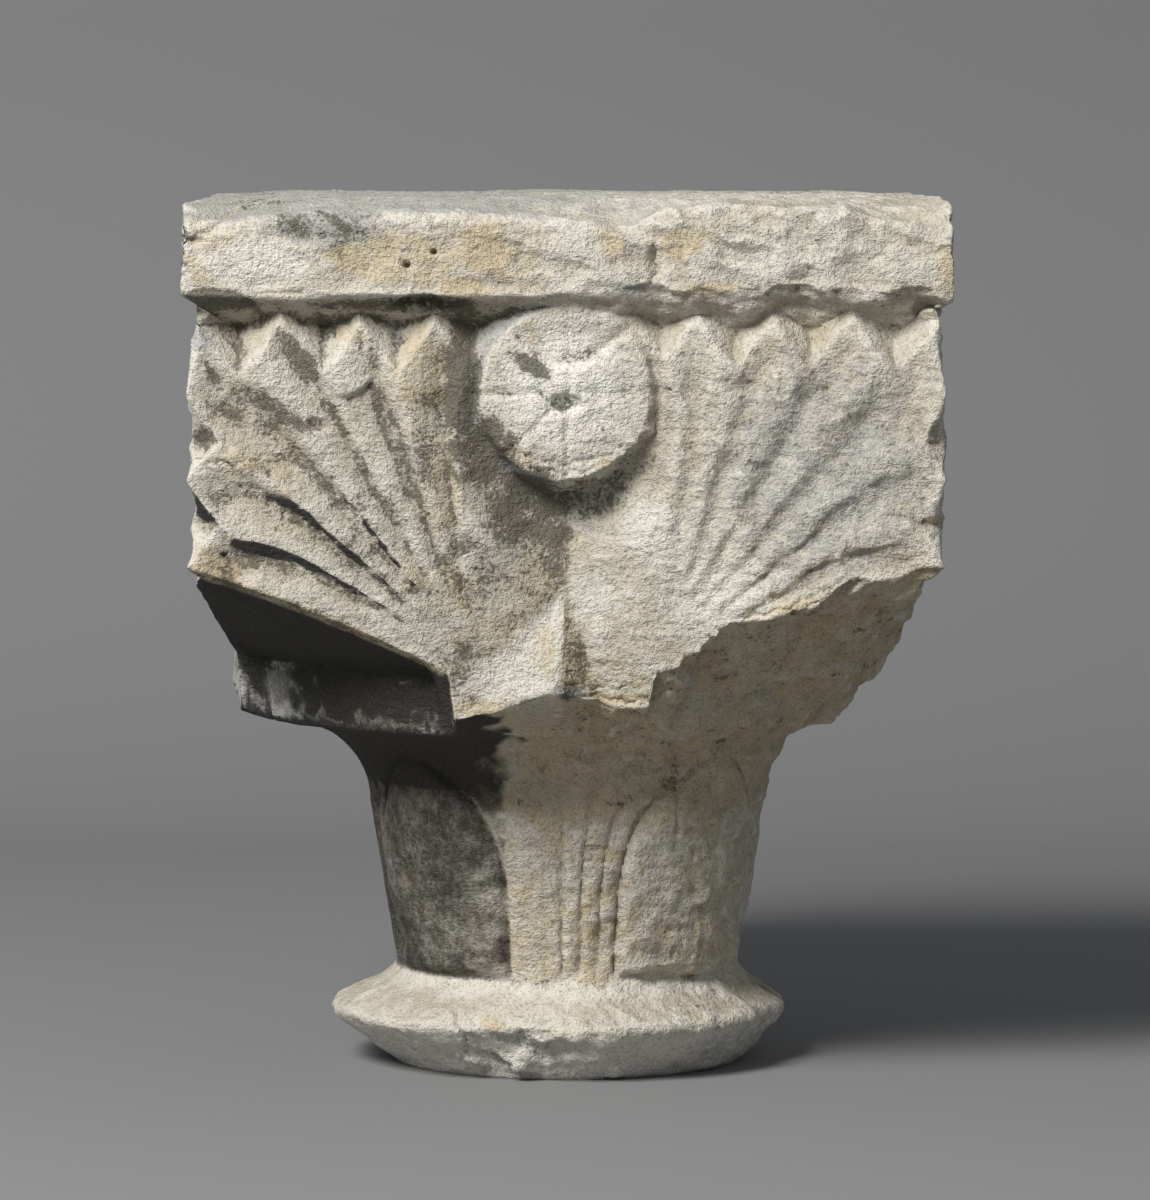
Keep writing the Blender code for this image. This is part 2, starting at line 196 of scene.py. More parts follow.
# The front's edges in mm, across and then up or off: bites out of the palmette's lower edge, the height of
# the lower leaf's foot, and the wear of the slab's upper arris.
BITES_AT = (40, 46, 58, 71, 86, 98, 102, 121, 134)
BITES = (0, 3, 7.5, 4.7, 2.6, 4.9, 5.5, 2, 0)
FRONT_FOOT_AT = (-39, -26, -13, -6, 4, 19, 33, 39)
FRONT_FOOT_UP = (137, 140, 145, 147.4, 145.5, 141, 142.5, 143.5)
FRONT_WORN_AT = (-134, -120, -95, -30, 0, 21, 34, 48, 95, 115, 134)
FRONT_WORN = (6, 5, 3.6, 3.8, 5.5, 8.0, 4.5, 1.2, 1.2, 3.4, 9.5)
# Two broken ridges: its count, how far out the break lies, the counts it runs between, and its depth in mm.
BROKEN_RIDGES = ((2.6, 98 * MM, 2.0, 2.95, 1.0), (4.15, 102 * MM, 3.75, 4.7, 2.6))
# How many columns of the grid each face gets. The front is seen closest.
COLUMNS = (460, 250, 200, 250)
print("deepest loss:", round(max(RING_LOSS, *NOSE_LOSS) / MM), "mm")

# %% [markdown]
# ## A palmette, as a height over the wall
#
# Each half face has six hollow leaflets that spread from one point low down near the middle, like the ribs
# of a shell. Seen from that point, the direction to a place tells which leaflet it is on. `leaflet_phase`
# turns the direction into a count: whole numbers lie on the sharp ridges. Out near the tips the ribs bend
# down toward the corner, so the count is blended there with one read off the tips.
#
# A carver holds the chisel at a slant, so a leaflet isn't an even V: it falls slowly from one ridge to its
# valley and climbs steeply to the next.

# %% Leaflets, nicks and the folded corner


def wall_dip(z, tuck_in):
    """How far a face's middle lies behind the corner line: a steady lean, and a tuck under the lower leaf."""
    lean = WALL_DIP_TOP + WALL_DIP_RISE * (LEAF_TOP - z) / (100 * MM)
    low = np.clip((LOW_APEX - z) / (LOW_APEX - LEAF_FOOT), 0.0, 1.0)
    return lean + tuck_in * low**1.6


def corner_cut(z, wear):
    """Saw-tooth along a corner: nothing at the leaf tips, full at the nicks, straight between."""
    up = [h for pair in zip(CORNER_TIPS, CORNER_NICKS) for h in pair] + [0.3]
    cut = [c for full in CORNER_CUTS for c in (0.0, full)] + [CORNER_CUTS[-1]]
    return np.interp(z, up, cut) * (1.0 - 0.6 * wear)


def chamfer(z, under, run):
    """The sloping surface under the slab: it goes in by run for each unit down."""
    return SLAB_HALF - run * (under - z)


def leaflet_phase(side, z):
    """phase = (angle - start) / step near the fan's foot, and the count read off the tips near the outline.

    Also gives the distance from the fan's foot, and bend: 0 near the foot, 1 at the outline.
    """
    across, up = side - FAN_OUT, z - FAN_UP
    rho = np.hypot(across, up)
    angle = np.degrees(np.arctan2(up, across))
    angle = np.where(angle < -60.0, 180.0, angle)
    sin_a = np.maximum(np.sin(np.radians(angle)), 1e-3)
    cos_a = np.maximum(np.cos(np.radians(angle)), 1e-3)
    reach = np.minimum((LEAF_TOP - FAN_UP) / sin_a, (CORNER - FAN_OUT) / cos_a)
    near_fan = (angle - LEAFLET_START) / LEAFLET_STEP
    halves = 0.5 * np.arange(len(TIP_ANGLES))
    at_tips = np.interp(angle, TIP_ANGLES, halves) + np.maximum(angle - TIP_ANGLES[-1], 0.0) / LEAFLET_STEP
    bend = smooth(0.55, 1.0, rho / reach)
    return near_fan + (at_tips - near_fan) * bend, rho, bend


def leaflet_cut(phase, bend, wear):
    """0 on a ridge, 1 in a valley v: (f / v)^1.5 on the slow side and (1 - f) / (1 - v) on the steep one.

    The valley runs out to the leaflet's tip, so v slides there. Where it is worn the profile is a soft wave.
    """
    f = np.clip(phase - np.clip(np.floor(phase), 0, LEAFLETS - 1), 0.0, 1.0)
    v = VALLEY + (VALLEY_AT_TIP - VALLEY) * bend
    carved = np.where(f < v, (f / v) ** 1.5, (1.0 - f) / (1.0 - v))
    wave = np.sin(np.pi * f**1.35) ** 2
    return carved + (wave - carved) * np.clip(0.55 + wear, 0.0, 1.0)


def broken_ends(u, phase, rho, front):
    """On the front's left two ridges keep only their outer ends: end = reach + 22 * (count - ridge)^2."""
    lost = 0.0
    for ridge, reach, left, right, depth in BROKEN_RIDGES:
        end = reach + 22 * MM * (phase - ridge) ** 2
        beside = smooth(left, left + 0.3, phase) * smooth(right, right - 0.35, phase)
        before_end = smooth(end + 1.2 * MM, end - 1.2 * MM, rho)
        lost = lost + depth * beside * before_end * ease(45, 96, rho)
    return MM * lost * front * (u < 0)


def palmette(u, z, wear, tuck_in, front):
    """out = corner - dip * (1 - side / corner) - channel, cut back by the nicks at the top and the corner."""
    side = np.abs(u)
    base = CORNER - wall_dip(z, tuck_in) * np.clip(1.0 - side / CORNER, 0.0, 1.0)
    phase, rho, bend = leaflet_phase(side, z)
    channel = leaflet_cut(phase, bend, wear) * np.minimum(rho / (110 * MM), 1.0) ** 0.8 * CHANNEL_DEPTH
    channel = channel * ease(4, 50, rho)
    channel = channel * (1.0 - front * (0.27 + 0.4 * smooth(0.75, 1.0, bend) * smooth(3.0, 2.3, phase)))
    channel = channel * (1.0 - smooth(0.93, 1.0, side / CORNER)) * (1.0 - 0.45 * wear)
    recess = WALL_RECESS * smooth(LEAFLETS, LEAFLETS + 3.0, phase) * ease(12, 70, rho)
    leaf = base - channel - recess
    dish = ROSETTE_DISH * ease(60, 36, np.hypot(side, z - ROSETTE_UP))
    leaf = leaf - dish * smooth(LEAFLETS - 0.3, LEAFLETS + 0.5, phase)
    leaf = leaf - broken_ends(u, phase, rho, front)
    for angle in TIP_ANGLES[6::2]:
        across = FAN_OUT + (NICK_TOP - FAN_UP) / math.tan(math.radians(angle))
        nick = NICK_OUT + 0.8 * (NICK_TOP - z) + 0.9 * np.abs(side - across) + 3 * MM * wear
        leaf = np.minimum(leaf, nick)
    return np.minimum(leaf, 2.0 * CORNER - corner_cut(z, wear) - side)


halfway, _, _ = leaflet_phase(85 * MM, 225 * MM)
print("leaflets up to the middle of the fan:", round(float(halfway), 2), "of", LEAFLETS)

# %% [markdown]
# ## The lower leaf and the rosette
#
# The lower leaf is half a pyramid against the wall: it starts at a point, gets prouder as it comes down,
# and falls away on both sides of a ridge. The rosette is a low drum with eight petals between cut lines.
# Both are heights over the same face, so the carver's rule for putting them together is `np.maximum`:
# whichever stands further out is what is seen.

# %% Lower leaf, rosette and the whole face


def lower_leaf(u, z, loss, lean, front):
    """out = apex + slope * down - fall * distance from the ridge, no further than the nose.

    On the front the right side has a narrow steep facet beside the ridge, then hardly falls at all.
    """
    down = LOW_APEX - z
    off = u - lean * down
    facet = FACET_SPREAD * np.maximum(down, 0.0)
    fall = LOW_FALL * np.abs(off)
    fall_right = FACET_FALL * np.minimum(off, facet) + 0.03 * np.maximum(off - facet, 0.0)
    fall = np.where((front > 0) & (off > 0), fall_right, fall)
    nose = LOW_NOSE - 0.5 * loss
    ridge = np.minimum(LOW_APEX_OUT + LOW_SLOPE * down, nose - 0.12 * np.maximum(z - LOW_FOOT, 0.0))
    ridge = ridge - loss * ease(150, 138, z)
    half = LOW_HALF + 0.12 * (LEAF_FOOT - z)
    past = np.maximum(np.abs(u) - half, 0.0)
    return ridge - fall - 7.0 * past - 30.0 * np.maximum(-down, 0.0)


def rosette(u, z, front):
    """out = drum - groove - hollow + boss - scar - petals - flare * how far outside the drum.

    Each groove is a narrow bell curve, exp(-(distance / width)^2). The scar is on the front alone.
    """
    up = z - ROSETTE_UP
    rho = np.hypot(u / 0.95, up)
    turn = np.arctan2(up, u) * PETALS / (2.0 * math.pi)
    off_groove = np.abs(turn - np.round(turn)) * 2.0 * math.pi / PETALS * rho
    wide = 1.0 + 1.1 * front * (u < 0) * (np.abs(up) < 0.3 * np.abs(u))
    groove = 0.8 * MM * wide**0.5 * np.exp(-((off_groove / (0.8 * MM * wide)) ** 2))
    groove = groove * ease(6, 10, rho)
    boss = 1.4 * MM * np.exp(-(((u - 1 * MM) / (6 * MM)) ** 2) - ((up - 4.5 * MM) / (4.5 * MM)) ** 2)
    hollow = 2.0 * MM * smooth(1.15, 0.5, np.hypot(u / (7 * MM), (up + 3.5 * MM) / (4 * MM)))
    step = 9.5 * MM + 0.9 * np.maximum(np.abs(u) - 7 * MM, 0.0)
    scar = 2.4 * MM * smooth(step - 1.4 * MM, step + 1.4 * MM, up) * front
    scar = scar * np.clip((25 * MM - up) / np.maximum(25 * MM - step, 1 * MM), 0.0, 1.0)
    petals = 0.8 * MM * ease(6, 24, rho)
    face = ROSETTE_OUT - groove * (1.0 - front * (up > 6 * MM)) - hollow + boss - scar - petals
    flare = 1.15 + 2.2 * smooth(0.1, 0.8, -up / np.maximum(rho, 1 * MM))
    return face - flare * np.maximum(rho - ROSETTE_RADIUS, 0.0)


def lower_edge(u, loss, gone, front):
    """Height of the arris that a face ends at: leaf foot + 0.53 s - 0.00123 s^2, at s mm past the lower leaf.

    In the middle it is the lower leaf's own foot.
    """
    side = np.abs(u) + 5.3 * MM * front * ease(0, 30, u) * ease(90, 45, u)
    past = np.maximum(side - LOW_HALF, 0.0) / MM
    leaf = LEAF_FOOT + (0.53 * past - 0.00123 * past**2) * MM
    leaf = leaf + gone * smooth(CORNER, CORNER - 16 * MM, side)
    leaf = leaf + np.interp(u / MM, BITES_AT, BITES) * MM * front
    foot = LOW_FOOT + 1.4 * loss - 8 * MM * (side / LOW_HALF) ** 4
    foot = foot + (np.interp(u / MM, FRONT_FOOT_AT, FRONT_FOOT_UP) * MM - foot) * front
    ends = LOW_HALF - 5 * MM * front * (u > 0)
    return foot + (leaf - foot) * ease(0, 3, side - ends)


proud = rosette(0.0, ROSETTE_UP, 0.0) - palmette(0.0, ROSETTE_UP, 0.0, TUCK, 0.0)
print("the rosette's middle stands", round(float(proud) / MM, 1), "mm out of its dish")

# %% [markdown]
# ## The round part
#
# Below the leaves the block is round. A smooth pointed lobe stands under each corner and a ribbed stem
# fills the space between two lobes. Both are small changes of the radius, and the lobe narrows to a point
# as it rises, so the ribs of the stem fan out beside it without being told to.

# %% Ring under the leaves, lobes and flutes


def ring_radius(phi):
    """Plan of the arris under the leaves: a polygon with a flat across each corner."""
    return np.interp(np.abs(phi), (0, 20, 23.4, 36, 45), (0.1128, 0.1135, 0.1165, 0.1145, 0.1132))


def lobe_half(z):
    """Half the width of a lobe in degrees: full at the spring, nothing at the top."""
    rise = np.clip((z - LOBE_SPRING) / (LOBE_TOP - LOBE_SPRING), 0.0, 1.0)
    return LOBE_HALF_ANGLE * (1.0 - rise**3.6)


def bell_relief(phi, z, front):
    """lobe = bulge * (1 - (angle from the corner / half width)^2)^0.5; flutes are V cuts beside the lobe."""
    phi = phi + 1.5 * front * smooth(45.0, 30.0, np.abs(phi))
    from_corner = 45.0 - np.abs(phi)
    half = lobe_half(z)
    inside = np.clip(1.0 - (from_corner / np.maximum(half, 0.01)) ** 2, 0.0, 1.0) ** 0.5
    lobe = LOBE_BULGE * inside * (1.0 - smooth(LOBE_TOP - 8 * MM, LOBE_TOP, z))
    phase = FLUTES * 0.5 * (phi / (45.0 - half) + 1.0)
    part = np.abs(2.0 * (phase - np.floor(phase)) - 1.0)
    flute = FLUTE_DEPTH * part**3 * (from_corner > half) * (1.0 - ease(96, 112, z))
    flute = flute * (1.0 - front * smooth(-3.0, -7.0, phi))
    outline = 1.1 * MM * np.exp(-(((from_corner - half) / 1.3) ** 2))
    flute = flute + outline * smooth(LOBE_TOP, LOBE_TOP - 10 * MM, z)
    return (lobe - flute) * smooth(NECK_UP, NECK_UP + 4 * MM, z)


def round_row(phi, radius, z):
    """One ring, given by its radius and height at each column's angle from the middle of its face."""
    a = np.radians(phi)
    return np.stack([radius * np.sin(a), radius * np.cos(a), z + 0.0 * radius], axis=-1)


print("a lobe is", 2 * LOBE_HALF_ANGLE, "degrees wide at its spring and",
      round(2 * float(lobe_half(100 * MM)), 1), "degrees 50 mm higher")

# %% [markdown]
# ## All the rows, from the foot bed to the top bed
#
# A row is kept in the face's own terms: how far sideways, how far out, how high. Only at the end are the
# four faces turned to their places. Where the carved face ends above the bell, the surface goes back in
# under it: first a steep soffit, then a short upright band with flats. A height map could not do that, but
# a stack of rows can, because two rows may lie at the same height.

# %% What each column of the grid knows about itself
t = np.concatenate([-1.0 + 2.0 * np.arange(n) / n for n in COLUMNS])
face = np.repeat(np.arange(4), COLUMNS)
corner = np.where(t < 0.0, (face + 3) % 4, face)
wear = np.array(CORNER_WEAR)[corner]
loss = np.array(NOSE_LOSS)[face]
gone = np.array(EDGE_LOSS)[face]
lean = np.array(RIDGE_LEAN)[face]
front = (face == 0) * 1.0
turn = np.radians(90.0 * face)
front_right = front * smooth(-0.1, 0.15, t) * smooth(1.0, 0.9, t)
tuck_in = TUCK * (1.0 - front)
run = CHAMFER_RUN - 0.6 * front_right


def in_place(rows):
    """Turns rows from the faces' own terms into x, y, z."""
    x = rows[..., 0] * np.cos(turn) + rows[..., 1] * np.sin(turn)
    y = rows[..., 0] * np.sin(turn) - rows[..., 1] * np.cos(turn)
    return np.stack([x, y, rows[..., 2]], axis=-1)


slab_line = in_place(np.stack([t * SLAB_HALF, SLAB_HALF + 0.0 * t, SLAB_UNDER + 0.0 * t], axis=-1))
under = SLAB_UNDER + 2.2 * MM * front_right
under = under + (0.8 + 1.3 * front_right) * MM * rough(slab_line, 16 * MM, 71, 3)


def face_row(z):
    """One row of the four carved faces at heights z: sideways reach, and the foremost of all the forms."""
    reach = np.maximum(CORNER - 0.5 * corner_cut(z, wear), chamfer(z, under, run))
    u = t * reach
    out = palmette(u, z, wear, tuck_in, front)
    out = np.maximum(out, lower_leaf(u, z, loss, lean, front))
    out = np.maximum(out, rosette(u, z, front))
    out = np.maximum(out, chamfer(z, under, run))
    return np.stack([u, out, z], axis=-1)


z_low = lower_edge(t * CORNER, loss, gone, front)
plain_arris = in_place(face_row(z_low))
ragged = noise(plain_arris, 7 * MM, 5) + 0.6 * noise(plain_arris, 2.5 * MM, 6)
z_low = z_low + ragged * (0.35 + 2.0 * wear) * MM
arris = face_row(z_low)

# The rows of the round part are turned so that they line up with the leaf above them.
phi = np.sign(t) * np.interp(np.abs(t), (0, 0.29, 0.32, 1), (0, 19.8, 21.0, 45))
around = np.radians(phi) + turn
degrees_round = np.degrees(around + np.pi) % 360.0 - 180.0
broken_ring = smooth(-22.0, -12.0, degrees_round) * smooth(150.0, 115.0, degrees_round)
bare_right = smooth(45.0, 60.0, degrees_round) * smooth(150.0, 115.0, degrees_round)
ring = ring_radius(phi) * (1.0 - bare_right) + RING_PLAIN * bare_right - RING_LOSS * broken_ring
rim = RIM_RADIUS - 3.2 * MM * np.sin(around)
rim = rim - 4.0 * MM * smooth(24.0, 10.0, np.abs(degrees_round + 11.0))
rim = rim - 2.5 * MM * smooth(9.0, 2.0, np.abs(degrees_round - 66.0))
print("columns:", len(t))

# %% Stack the rows
rows = []
for s in np.linspace(0.0, 1.0, 18):
    rows.append(round_row(phi, FOOT_RADIUS + (rim - FOOT_RADIUS) * s, RIM_LOW * s))
rows.append(round_row(phi, rim + 0.5 * MM, 0.5 * (RIM_LOW + RIM_HIGH)))
for s in np.linspace(0.0, 1.0, 22):
    lift = NECK_UP - RIM_HIGH
    rows.append(round_row(phi, rim + (NECK_RADIUS - rim) * s, RIM_HIGH + lift * (0.75 * s + 0.25 * s**6)))
for z in np.linspace(NECK_UP, COVE_UP, 68)[1:]:
    radius = NECK_RADIUS + (COVE_RADIUS - NECK_RADIUS) * (z - NECK_UP) / (COVE_UP - NECK_UP)
    rows.append(round_row(phi, radius + bell_relief(phi, z, front), z))
for psi in np.radians(np.linspace(0.0, 90.0, 46))[1:]:
    z = COVE_UP + (RING_UP - COVE_UP) * math.sin(psi)
    radius = COVE_RADIUS + (ring - COVE_RADIUS) * (1.0 - math.cos(psi))
    rows.append(round_row(phi, radius + bell_relief(phi, z, front), z))
start = rows[-1]
under_leaf = smooth(20.0, 24.0, np.abs(phi))
tall = np.minimum(RING_TALL, z_low - RING_UP - 4 * MM) * under_leaf * (1.0 - 0.8 * wear)
tall = tall * (1.0 - 0.9 * bare_right)
middle = round_row(phi, ring + 2.0 * MM + 0.06 * tall, RING_UP + tall)
for s in np.linspace(0.0, 1.0, 20)[1:]:
    rows.append(start + (middle - start) * s)
for s in np.linspace(0.0, 1.0, 42)[1:]:
    rows.append(middle + (arris - middle) * s)
for s in np.linspace(0.0, 1.0, 256)[1:]:
    rows.append(face_row(z_low + (under - z_low) * s))
edge_front = smooth(50.0, 43.0, np.abs((np.degrees(turn) + 45.0 * t + 180.0) % 360.0 - 180.0))
slab_top = slab_line + np.array([0.0, 0.0, 30 * MM])
worn_here = np.interp(slab_top[:, 0] / MM, FRONT_WORN_AT, FRONT_WORN)
worn = (1.6 + edge_front * (worn_here - 1.6 + 0.9 * rough(slab_top, 20 * MM, 75, 2))) * MM
worn = np.maximum(worn, 0.6 * MM)
back_dip = 4.0 * MM * ease(-90, 0, slab_top[:, 0]) * ease(75, 30, slab_top[:, 0])
worn = worn + back_dip * (face == 2)
round_off = (2.0 + edge_front * (4.5 + 2.0 * noise(slab_top, 30 * MM, 77))) * MM
for s in np.linspace(0.0, 1.0, 40)[1:]:
    z = under + (HEIGHT - worn - round_off - under) * s
    rows.append(np.stack([t * SLAB_HALF, SLAB_HALF + 0.0 * t, z], axis=-1))
for psi in np.radians(np.linspace(0.0, 90.0, 14))[1:]:
    half = SLAB_HALF - round_off * (1.0 - math.cos(psi))
    rows.append(np.stack([t * half, half, HEIGHT - worn - round_off * (1.0 - math.sin(psi))], axis=-1))
for s in np.linspace(0.0, 1.0, 30)[1:]:
    half = (SLAB_HALF - round_off) * (1.0 - s) + 4 * MM * s
    level = HEIGHT - worn * smooth(SLAB_HALF - 34 * MM, SLAB_HALF - 8 * MM, half)
    rows.append(np.stack([t * half, half, level], axis=-1))

grid = in_place(np.array(rows))
print("rows and columns:", grid.shape[:2])

# %% [markdown]
# ## Wear
#
# Freshly cut stone has sharp arrises. Weather takes the most from whatever stands out, so the surface is
# pulled a little toward the average of its neighbours, over and over, and more where that moves it inward.

# %% Round the arrises


def normals(g):
    """Unit normals of a grid that closes on itself sideways: the cross product of its two directions."""
    sideways = np.roll(g, -1, axis=1) - np.roll(g, 1, axis=1)
    upward = np.gradient(g, axis=0)
    n = np.cross(sideways, upward)
    return n / np.maximum(np.linalg.norm(n, axis=-1, keepdims=True), 1e-12)


def neighbour_mean(g):
    """Average of the four neighbours; the first and last rows keep their place."""
    m = g.copy()
    m[1:-1] = 0.25 * (np.roll(g, 1, axis=1) + np.roll(g, -1, axis=1))[1:-1] + 0.25 * (g[:-2] + g[2:])
    return m


flat_bed = grid[..., 2] < 0.4 * MM
near = smooth(0.06, -0.02, grid[..., 1])
softness = np.minimum(0.2 + 0.6 * wear[None, :] + 0.3 * (1.0 - near), 1.0) * ~flat_bed
as_carved = grid
for _ in range(12):
    toward = neighbour_mean(grid) - grid
    inward = (toward * normals(grid)).sum(axis=-1)
    grid = grid + toward * (np.where(inward < 0.0, 0.55, 0.1) * softness)[..., None]
print("the sharpest arris moved", round(np.linalg.norm(grid - as_carved, axis=-1).max() / MM, 2), "mm")

# %% [markdown]
# ## Skin, chips and cracks
#
# After that comes the stone's own roughness, pushed along the surface's normals: long shallow waves, a
# coarse skin, short ledges where the beds of the stone show, and scattered pits. The marks that make this
# block itself, such as the cracked upper corner and the missing piece of the rim, are placed one by one with
# `spot` and `crack`.
# `spot` and `crack`.

# %% The stone's skin
x, y, z = grid[..., 0], grid[..., 1], grid[..., 2]
n = normals(grid)
near = smooth(0.06, -0.02, y)
facing = smooth(0.1, -0.5, n[..., 1])
right_side = ease(-12, 14, x) * near
slab = smooth(SLAB_UNDER - 2 * MM, SLAB_UNDER + 4 * MM, z)
foot = ease(34, 26, z)
bell = ease(124, 116, z) * (1.0 - foot)
below = smooth(-0.25, -0.55, n[..., 2]) * (1.0 - foot)
calm = np.maximum(below, bell) * ease(-18, -26, x)

skin = 0.8 * rough(grid, 34 * MM, 11, 2) * (0.5 + 0.7 * wear[None, :])
skin += 0.5 * rough(grid, 7 * MM, 21, 3) * (0.3 + 0.7 * near) * (0.8 + 0.7 * right_side)
flakes = 1.0 - np.abs(rough(grid, (9 * MM, 9 * MM, 4.5 * MM), 31, 2))
skin += 0.7 * (flakes - 0.6) * (0.25 + 0.75 * right_side) * (0.2 + 0.8 * near)
pits = smooth(0.5, 0.85, noise(grid, 2.8 * MM, 41)) * smooth(-0.3, 0.5, noise(grid, 26 * MM, 42))
skin -= 0.7 * pits * (0.3 + 0.7 * near)
scallops = np.minimum(np.abs(rough(grid, (17 * MM, 17 * MM, 10 * MM), 51, 3)), 0.9)
skin += slab * ((1.6 + 1.2 * right_side) * (0.5 - scallops) - 1.3)
skin += foot * (0.7 + 2.4 * spot(x, z, -16, 12, 32, 14)) * rough(grid, (10 * MM, 10 * MM, 5 * MM), 61, 4)
skin += 2.0 * below * right_side * rough(grid, (16 * MM, 16 * MM, 6 * MM), 65, 4)
skin += 0.5 * bell * (1.0 - calm) * rough(grid, 5 * MM, 67, 3)
skin = skin * (1.0 - 0.6 * calm)
print("skin before the chips from", round(skin.min(), 2), "to", round(skin.max(), 2), "mm")

# %% Chips and cracks on the front
# Each chip: place across and up, half width and half height in mm, turn in degrees, depth in mm.
CHIPS = (
    (-56, 299.1, 1.9, 1.7, 0, 4), (-46.5, 303.7, 1.6, 1.5, 0, 3.5), (-130, 307.6, 3.5, 2.5, 0, 2.5),
    (-52.3, 285, 11, 4.2, 6, 4.5), (-98, 288.5, 16, 2, 2, 1.2), (31, 299, 3.5, 8, 12, 1.6),
    (128, 284, 8, 5, 0, 2), (-16, 2.5, 3, 4, 0, 3), (-27, 8, 9, 3.5, -20, 2),
    (13, 212, 6, 5, 30, 0.9), (17, 226, 5, 3, 0, 0.8), (60, 168, 9, 3, 25, 1.5),
    (101, 186, 8, 2.5, 20, 1.5),
    (124, 240, 5, 6, 0, 1.6), (125, 209, 5, 7, 0, 1.6), (-88, 243, 4.5, 3, -20, 1.6),
)
for at_x, at_z, half_x, half_z, lean_over, depth in CHIPS:
    skin = skin - depth * spot(x, z, at_x, at_z, half_x, half_z, lean_over) * facing

# Each crack: its way across and up, its width and depth in mm, and a number that makes it wander.
CRACKS = (
    (((-137, 306), (-127, 311.4), (-123.8, 314.6), (-116.4, 318.9), (-108, 320)), 0.9, 2.2, 0.4),
    (((30.7, 306), (31.5, 299), (30.2, 292)), 0.9, 1.4, 1.1),
    (((-21, 235.5), (-12, 231), (0, 228.7), (12, 231), (22, 236)), 0.7, 1.0, 2.0),
    (((-12, 227.6), (0, 225.6), (11, 227.5)), 0.6, 0.9, 3.1),
    (((-137, 232), (-118, 229), (-100, 232.5)), 0.6, 0.7, 0.9),
    (((0.9, 283), (0.9, 186)), 0.8, 0.6, 0.0),
    (((64, 174), (80, 178.5), (95, 186.5), (106, 190)), 0.8, 1.2, 1.9),
    (((72, 172), (90, 180), (104, 186)), 0.8, 1.0, 4.2),
    (((-41, 25), (-36, 15), (-38, 8), (-28, 3)), 1.0, 1.6, 0.7),
    (((-25, 16), (-12, 12), (-1, 14.5)), 0.9, 1.4, 1.7),
    (((-33, 11), (-20, 4), (-14, 3)), 0.8, 1.3, 2.9),
    (((6, 146), (22, 143.5), (34, 146)), 0.7, 1.2, 2.6), (((-2, 151), (14, 148), (32, 150)), 0.6, 0.8, 0.2),
)
for way, width, depth, seed in CRACKS:
    skin = skin - depth * crack(x, z, way, width, seed) * facing

skin = np.where(flat_bed | (z < 1.2 * MM), 0.0, skin)
grid = grid + n * (skin * MM)[..., None]
grid[..., 2] = np.clip(grid[..., 2], 0.0, HEIGHT)
grid[..., :2] = np.clip(grid[..., :2], -SLAB_HALF, SLAB_HALF)
print("skin with them from", round(skin.min(), 2), "to", round(skin.max(), 2), "mm")

# %% [markdown]
# ## From rows to a mesh
#
# Neighbouring rows make four-sided faces, and one flat face closes each end. That gives far more faces than
# the flat parts need, so a Decimate modifier gathers them where the surface bends.

# %% Make the mesh and thin it out


def make_stone(name, g, wanted):
    """A closed mesh of the rows, thinned to the wanted number of triangles."""
    n_rows, n_cols, _ = g.shape
    i, j = np.meshgrid(np.arange(n_rows - 1), np.arange(n_cols), indexing="ij")
    here, beside = i * n_cols + j, i * n_cols + (j + 1) % n_cols
    quads = np.stack([here, beside, beside + n_cols, here + n_cols], axis=-1).reshape(-1, 4)
    last = (n_rows - 1) * n_cols
    loops = np.concatenate([quads.ravel(), np.arange(n_cols - 1, -1, -1), np.arange(last, last + n_cols)])
    sizes = np.concatenate([np.full(len(quads), 4), [n_cols, n_cols]])
    starts = np.concatenate([[0], np.cumsum(sizes)[:-1]])
    mesh = bpy.data.meshes.new(name)
    mesh.vertices.add(n_rows * n_cols)
    mesh.vertices.foreach_set("co", g.reshape(-1).astype(np.float32))
    mesh.loops.add(len(loops))
    mesh.loops.foreach_set("vertex_index", loops.astype(np.int32))
    mesh.polygons.add(len(sizes))
    mesh.polygons.foreach_set("loop_start", starts.astype(np.int32))
    mesh.update(calc_edges=True)
    mesh.validate()
    obj = bpy.data.objects.new(name, mesh)
    bpy.context.scene.collection.objects.link(obj)
    thin = obj.modifiers.new("gather the faces", "DECIMATE")
    thin.ratio = wanted / (2 * len(quads) + 2 * n_cols - 4)
    thin.use_collapse_triangulate = True
    done = bpy.data.meshes.new_from_object(obj.evaluated_get(bpy.context.evaluated_depsgraph_get()))
    obj.modifiers.clear()
    obj.data = done
    bpy.data.meshes.remove(mesh)
    places = np.empty(len(done.vertices) * 3, dtype=np.float32)
    done.vertices.foreach_get("co", places)
    low, high = (-SLAB_HALF, -SLAB_HALF, 0.0), (SLAB_HALF, SLAB_HALF, HEIGHT)
    done.vertices.foreach_set("co", np.clip(places.reshape(-1, 3), low, high).ravel().astype(np.float32))
    done.name = name
    done.polygons.foreach_set("use_smooth", [True] * len(done.polygons))
    return obj


stone = make_stone("carved_stone", grid, 196000)
mesh = stone.data
print("triangles:", len(mesh.polygons), "points:", len(mesh.vertices))

# %% [markdown]
# ## Where the dirt has stayed
#
# Rain washes what stands out and leaves the hollows dark. `hollow` measures that on the finished mesh: it
# slides every point to the average of its neighbours several times, and a point in a groove ends up higher
# than it began. Each kind of stain becomes one number per point, stored under a name that the material
# reads. A painted image could do the same, but it would need the stone unwrapped first.

